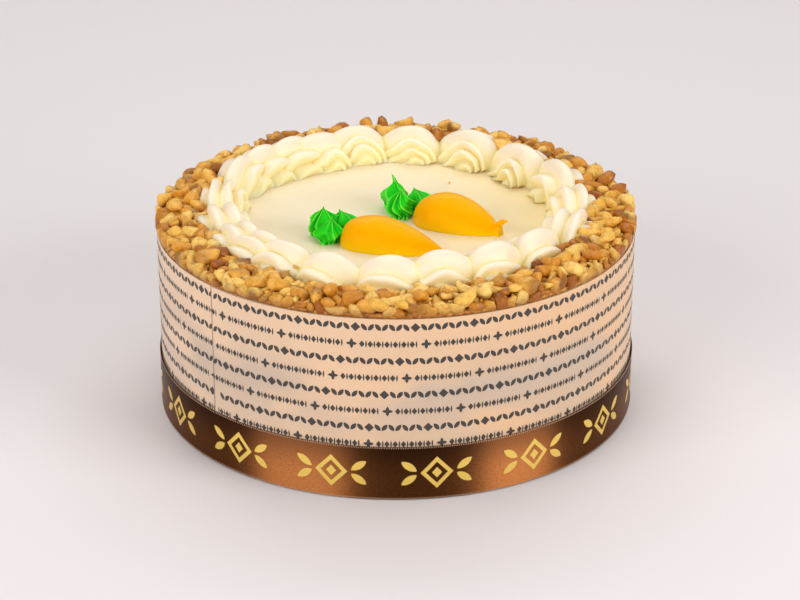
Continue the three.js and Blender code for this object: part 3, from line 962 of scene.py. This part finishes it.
def carrot_mesh(name, line, half_width, height, taper, point, tail):
    """A piped carrot: across it, an ellipse cut off low down, so that its flanks tuck in where it
    meets the icing. Along it, the half width follows a circle that is drawn out to a point. A
    tail, where tail is 1, keeps a small height and width up to its end, where its top and its
    foot are drawn out further than its middle."""
    rows, columns = 110, 60
    tuck = math.radians(CARROT_TUCK_DEG)
    lift = np.linspace(-math.pi / 2, math.pi / 2, rows)[:, None]
    turn = np.linspace(-tuck, math.pi + tuck, columns)[None, :]
    even = (1 + np.sin(lift)) / 2
    share = blend(even, even**2, taper)
    at, heading = curve_at(line, share)
    streaks = 0.014 * np.sin(5 * turn + 2 * share) * np.sin(math.pi * share)
    streaks = streaks + 0.016 * np.sin(11 * share + 2 * turn)
    size = np.abs(np.cos(lift)) ** (1 + point * even**2) * (1 + streaks)
    late = tail * smooth_step(0.92, 0.985, even) * (lift < math.pi / 2)
    wide = blend(size * half_width, TAIL_HALF_WIDTH, late)
    high = blend(size * height, TAIL_HEIGHT, late)
    level = (np.sin(turn) + math.sin(tuck)) / (1 + math.sin(tuck))
    across = wide * np.cos(turn)
    ahead = late * (5 * level**10 + 1.4 * (1 - level) ** 3 - 1.4)
    end = tail * (np.arange(rows) == rows - 1)[:, None]
    ahead = blend(ahead, -1.8, end)
    x = at[..., 0] - across * heading[..., 1] + ahead * heading[..., 0]
    y = at[..., 1] + across * heading[..., 0] + ahead * heading[..., 1]
    z = TOPPING_FLOOR - PIPED_SINK + (high + PIPED_SINK * np.cos(lift)) * level + 0.45 * TAIL_HEIGHT * end
    low = np.clip(1 - 1.5 * level + 0 * lift, 0, 1)
    return mesh_of(name, np.stack([x, y, z], -1), grid_faces(rows, columns), values={"low": low})


def carrots():
    material = orange_buttercream()
    for node, shape in CARROTS.items():
        place(carrot_mesh("piped_" + node, **shape), material, [node])


def dollop_mesh(name, number, at, radius, height, lean, curl, dome):
    """A dollop of leaf: a round shouldered bulb drawn up to a thin, curled point. Its half width is
    a dome, one less a power of the height, with a cone on top. Narrow ridges run up it, twisting
    as they rise, with finer ones between them, and its foot is drawn in and ruffled."""
    rows, columns = 60, 16 * LEAF_RIDGES
    share = np.linspace(0, 1, rows)[:, None]
    angle = np.linspace(0, 2 * math.pi, columns, endpoint=False)[None, :]
    spacing = 0.35 * wave(number, 95, angle) + 0.2 * wave(number, 96, 2 * angle)
    twist = 0.9 * either_way(number, 97) * share + 0.5 * wave(number, 91, 3.4 * share)
    phase = 0.5 * LEAF_RIDGES * (angle + spacing + twist) + 3 * uneven(number, 92)
    ridge = 1 - np.abs(np.sin(phase)) ** 0.6
    fine = 1 - np.abs(np.sin(2.5 * phase + 3 * share + number)) ** 0.7
    strength = 0.4 + 0.2 * wave(number, 94, 2 * angle + 4 * share)
    bulb = np.clip(1 - (share / dome) ** 2.4, 0, 1) ** 1.2
    cone = 0.6 * (1 - share) ** 0.9 * share
    waist = blend(0.52, 1, smooth_step(0, 0.55, share))
    lumps = 0.16 * wave(number, 98, angle) * np.sin(math.pi * share)
    lumps = lumps + 0.1 * wave(number, 99, 3 * angle - 9 * share)
    outline = (0.95 * bulb * waist + cone) * (1 + lumps)
    foot_wave = 1 + np.sin(LEAF_RIDGES * angle + 5 * uneven(number, 93))
    foot_wave = foot_wave + 0.8 * np.sin(13 * angle + 3 * number)
    ruffle = 0.1 * np.exp(-(((share - 0.05) / 0.09) ** 2)) * foot_wave
    spread_out = radius * (outline * (1 + strength * ridge + 0.03 * fine) + ruffle)
    hook = np.clip((share - 0.68) / 0.32, 0, 1) ** 2
    base = TOPPING_FLOOR - PIPED_SINK
    rings = polar(spread_out, angle, base + (height + PIPED_SINK) * share)
    for way, moved in ((at, share**0), (lean, share**2), (curl, hook)):
        rings[..., :2] += moved[..., None] * way
    foot = np.broadcast_to([*at, base], rings[:1].shape)
    return mesh_of(name, np.concatenate([foot, rings]), grid_faces(rows + 1, columns))


def leaves():
    material = green_buttercream()
    for tuft, (node, dollops) in enumerate(TUFTS.items()):
        meshes = [dollop_mesh(f"{node}_{i}", 10 * tuft + i, *dollop) for i, dollop in enumerate(dollops)]
        mesh = fused("piped_" + node, meshes)
        mark_hollows(mesh, 2)
        place(mesh, material, [node], sharp_deg=60)


def icing_disc():
    """The flat icing: a closed disc whose top swells and dips by a fraction of a millimetre, as a
    palette knife leaves it."""
    rings, turns = 56, 160
    radius = np.linspace(0, CAKE_RADIUS, rings)[:, None]
    angle = np.linspace(0, 2 * math.pi, turns, endpoint=False)[None, :]
    x = radius * np.cos(angle)
    y = radius * np.sin(angle)
    swell = 0.1 * np.sin(x / 13 + 1) * np.sin(y / 17) + 0.07 * np.sin((x + 2 * y) / 23) - 0.17
    top = polar(radius, angle, ICING_TOP + swell)
    under = polar(radius, angle, ICING_FLOOR)[::-1]
    mesh = mesh_of("flat_icing", np.concatenate([top, under]), grid_faces(2 * rings, turns))
    place(mesh, smoothed_icing(), ["icing_top"], sharp_deg=60)


def lapped(radius, lap_deg, ease_deg, lift):
    """The outer radius of a strip, as a function of the degrees along it from its upper end: it
    lies over its other end first, and then eases down."""
    return lambda along_deg: radius + lift * (1 - smooth_step(lap_deg, lap_deg + ease_deg, along_deg))


# The bearing where the film and the ribbon start, and their outer radius, a little inside the
# solids where they don't lap
FILM_WRAP = (SEAM_DEG, lapped(COLLAR_RADIUS - 0.12, OVERLAP_DEG, SEAM_EASE_DEG, SEAM_LIFT))
RIBBON_WRAP = (RIBBON_START_DEG, lapped(RIBBON_RADIUS - 0.1, RIBBON_LAP_DEG, RIBBON_EASE_DEG, RIBBON_LIFT))


def strip_mesh(name, wrap, length_deg, low, high, thickness, rows):
    """A strip wrapped round the cake as a closed thin solid: its section is a flat loop, up the
    outside and down the inside, carried along the strip."""
    first_deg, radius_at = wrap
    columns = int(length_deg * 1.5)
    along = np.linspace(0, length_deg, columns)[:, None]
    level = np.linspace(low, high, rows)
    height = np.concatenate([level, level[::-1]])[None, :]
    depth = np.concatenate([np.zeros(rows), np.full(rows, thickness)])[None, :]
    points = polar(radius_at(along) - depth, np.radians(first_deg + along), height)
    ends = [np.arange(2 * rows)[::-1], (columns - 1) * 2 * rows + np.arange(2 * rows)]
    caps = [[end[i], end[i + 1], end[-2 - i], end[-1 - i]] for end in ends for i in range(rows - 1)]
    faces = np.concatenate([grid_faces(columns, 2 * rows), caps])
    uv = np.stack(np.broadcast_arrays(along / 360, (height - low) / (high - low)), -1)
    return mesh_of(name, points, faces, uv=uv)


def film_collar():
    mesh = strip_mesh("film_collar", FILM_WRAP, 360 + OVERLAP_DEG, WRAP_FOOT, RIM, FILM, 12)
    place(mesh, printed_film(), ["printed_collar"], sharp_deg=60)


def raised_marks(outline, places, thickness, wrap, hole=0):
    """Flat marks wrapped on a strip: an outline of (along, up) points for each place, given as
    (along, up, turn), with an opening of its own shape that is hole times its size. Each is a
    closed thin solid."""
    first_deg, radius_at = wrap
    along, up = (outline[None] * np.array([1, hole, hole, 1])[:, None, None]).transpose(2, 0, 1)
    levels = np.array([thickness, thickness, -0.01, -0.01])[:, None]
    start, height, turn = places.T[..., None, None]
    forward = start + (along * np.cos(turn) - up * np.sin(turn))
    upward = height + (along * np.sin(turn) + up * np.cos(turn))
    degrees = np.degrees(forward / COLLAR_RADIUS)
    points = polar(radius_at(degrees) + levels, np.radians(first_deg + degrees), upward)
    faces = grid_faces(4, len(outline), round_rows=True)
    return points.reshape(-1, 3), copied(faces, 4 * len(outline), len(places))


def joined(parts):
    """Points and faces of several shapes as one."""
    points, faces, start = [], [], 0
    for more_points, more_faces in parts:
        points.append(more_points)
        faces.append(more_faces + start)
        start += len(more_points)
    return np.concatenate(points), np.concatenate(faces)


def leaf_outline(length, width, count=10):
    """A pointed oval: two arcs that meet at both ends."""
    angle = np.linspace(0, 2 * math.pi, count, endpoint=False)
    across = np.sin(angle) * np.abs(np.sin(angle)) ** 0.6
    return np.stack([length / 2 * np.cos(angle), width / 2 * across], -1)


def lozenge_outline(width, height, steps=2):
    """A diamond, with steps points along each side."""
    corners = np.array([(width / 2, 0), (0, height / 2), (-width / 2, 0), (0, -height / 2)])
    share = np.arange(steps)[None, :, None] / steps
    return (corners[:, None] * (1 - share) + np.roll(corners, -1, 0)[:, None] * share).reshape(-1, 2)


def star_outline(size):
    """A star with four points and hollow sides: its radius swings from point to hollow."""
    angle = np.linspace(0, 2 * math.pi, 16, endpoint=False)
    return polar(size / 2 * (0.42 + 0.58 * np.abs(np.cos(2 * angle)) ** 2.2), angle, 0)[:, :2]


def print_places(kind, length):
    """Where the marks of one kind are over all the rows of print, each row further along than the
    one above it."""
    places = []
    for row in range(PRINT_ROWS):
        group, marks = PRINT_GROUPS[row % 2]
        height = RIM - PRINT_DROP - row * PRINT_PITCH
        for start in np.arange(-group, length, group) + (row * PRINT_STAGGER % 1) * group:
            spots = marks.get(kind, [])
            places += [(start + along, height, math.radians(tilt)) for along, tilt in spots]
    return np.array(places)


def collar_print():
    """All the print: each kind's outline, and how far it keeps from the ends of the film, so that
    no mark is cut."""
    length = math.radians(360 + OVERLAP_DEG) * COLLAR_RADIUS
    marks = {
        "leaf": (leaf_outline(4.0, 2.1), 1.7),
        "lozenge": (lozenge_outline(4.4, 4.4), 2.4),
        "small": (lozenge_outline(2.5, 3.3), 1.4),
        "slip": (leaf_outline(3.4, 0.8, 8), 0.6),
        "star": (star_outline(4.9), 2.6),
    }
    parts = []
    for kind, (outline, margin) in marks.items():
        places = print_places(kind, length)
        inside = (places[:, 0] > margin) & (places[:, 0] < length - margin)
        parts.append(raised_marks(outline, places[inside], INK_THICKNESS, FILM_WRAP))
    mesh = mesh_of("collar_print", *joined(parts))
    place(mesh, printing_ink(), sharp_deg=40)


def satin_ribbon():
    shape = (360 + RIBBON_LAP_DEG, WRAP_FOOT, RIBBON_TOP, RIBBON_THICKNESS, 8)
    mesh = strip_mesh("ribbon_band", RIBBON_WRAP, *shape)
    return place(mesh, satin_cloth(), ["satin_ribbon"], sharp_deg=60)


def ribbon_stitches():
    """The stitched edges of the ribbon: a row of short slanted loops along each."""
    length = math.radians(360 + RIBBON_LAP_DEG) * COLLAR_RADIUS
    along = np.arange(1, length - 1, STITCH_PITCH)
    number = np.arange(len(along))
    parts = []
    for height, slant in ((RIBBON_TOP - 0.45, 1), (WRAP_FOOT + 0.5, -1)):
        up = height + 0.06 * either_way(number, 95)
        turn = math.radians(90 - STITCH_SLANT_DEG * slant) + 0.1 * either_way(number, 96)
        places = np.stack([along, up, turn], -1)
        parts.append(raised_marks(leaf_outline(0.95, 0.5, 6), places, STITCH_THICKNESS, RIBBON_WRAP))
    return place(mesh_of("ribbon_stitches", *joined(parts)), edge_thread())


def ribbon_foil():
    """The foil motifs: an open lozenge with a small one in it, and a pair of leaves on each side."""
    middle = (RIBBON_TOP + WRAP_FOOT) / 2
    bearings = FOIL_FIRST_DEG + np.arange(FOIL_COUNT) * 360 / FOIL_COUNT
    along = np.radians((bearings - RIBBON_START_DEG) % 360) * COLLAR_RADIUS

    def marks(outline, side=0, up=0, turn=0, hole=0):
        places = np.stack(np.broadcast_arrays(along + side, middle + up, turn), -1)
        return raised_marks(outline, places, FOIL_THICKNESS, RIBBON_WRAP, hole)

    parts = [marks(lozenge_outline(15.0, 16.0, 6), hole=0.66), marks(lozenge_outline(4.6, 5.4, 2))]
    for side in (1, -1):
        for up in (1, -1):
            spot = (side * FOIL_LEAF_SIDE, up * FOIL_LEAF_UP, side * up * FOIL_LEAF_TURN)
            parts.append(marks(leaf_outline(8.4, 3.6, 14), *spot))
    return place(mesh_of("ribbon_foil", *joined(parts)), gold_foil(), sharp_deg=40)


def studio():
    """A pale paper floor that curves up behind."""
    turn = np.linspace(0.1, math.pi / 2, 24)
    depth = np.concatenate([np.linspace(-2500, 2200, 12), 2200 + 900 * np.sin(turn), [3100]])[:, None]
    height = np.concatenate([np.zeros(12), 900 - 900 * np.cos(turn), [3500]])[:, None]
    points = np.stack(np.broadcast_arrays([-4000, 4000], depth, height), -1)
    mesh = bpy.data.meshes.new("studio_floor")
    faces = grid_faces(len(depth), 2, round_columns=False)
    mesh.from_pydata((points.reshape(-1, 3) * MM).tolist(), [], faces.tolist())
    mesh.shade_smooth()
    paper = new_material("studio_paper")
    mesh.materials.append(shade(paper, Base_Color="#E9E3E3", Roughness=0.9))
    floor = added("studio_floor", mesh)


def soft_light(name, bearing_deg, elevation_deg, distance, size, power):
    """An oblong soft box that looks at the middle of the cake from a bearing round it."""
    light = bpy.data.lights.new(name, "AREA")
    light.shape = "RECTANGLE"
    light.size, light.size_y = (s * MM for s in size)
    light.energy = power
    lamp = added(name, light)
    bearing, elevation = math.radians(bearing_deg), math.radians(elevation_deg)
    flat = distance * math.cos(elevation)
    spot = (flat * math.cos(bearing), flat * math.sin(bearing), LIGHT_AIM + distance * math.sin(elevation))
    lamp.location = [MM * v for v in spot]
    lamp.rotation_euler = (math.pi / 2 - elevation, 0, bearing + math.pi / 2)


def lights():
    """A large soft box on each side of the camera, which the satin throws back as bands, and soft
    light from above and from behind."""
    soft_light("box_right", -33, 22, 1400, (820, 900), 12.4)
    soft_light("box_left", -134, 22, 1400, (1020, 900), 12)
    soft_light("top", 90, 76, 1700, (2000, 1600), 10.5)
    soft_light("back", 90, 48, 1600, (1800, 500), 7.4)
    world = bpy.data.worlds.new("studio_air")
    bpy.context.scene.world = world
    world.use_nodes = True
    air = world.node_tree.nodes["Background"].inputs
    air["Color"].default_value = colour("#FFFDFB")
    air["Strength"].default_value = 0.18


def camera():
    data = bpy.data.cameras.new("photo_camera")
    data.lens = CAMERA_LENS
    data.sensor_width = 36
    data.sensor_fit = "HORIZONTAL"
    data.clip_end = 20
    eye = added("photo_camera", data)
    eye.location = [MM * v for v in CAMERA_PLACE]
    eye.rotation_euler = (math.radians(90 - CAMERA_PITCH_DEG), 0, 0)
    bpy.context.scene.camera = eye


def main():
    camera()
    studio()
    lights()
    bpy.context.scene.view_settings.view_transform = "Standard"
    sponge = frame["nodes"]["cake_body"].data.materials
    sponge.clear()
    sponge.append(baked_sponge())
    icing_disc()
    piped_border()
    heap_core()
    walnut = chopped_walnut()
    walnut_rim(walnut)
    fine_crumbs(walnut)
    carrots()
    leaves()
    film_collar()
    collar_print()
    satin = satin_ribbon()
    stitches = ribbon_stitches()
    foil = ribbon_foil()


main()
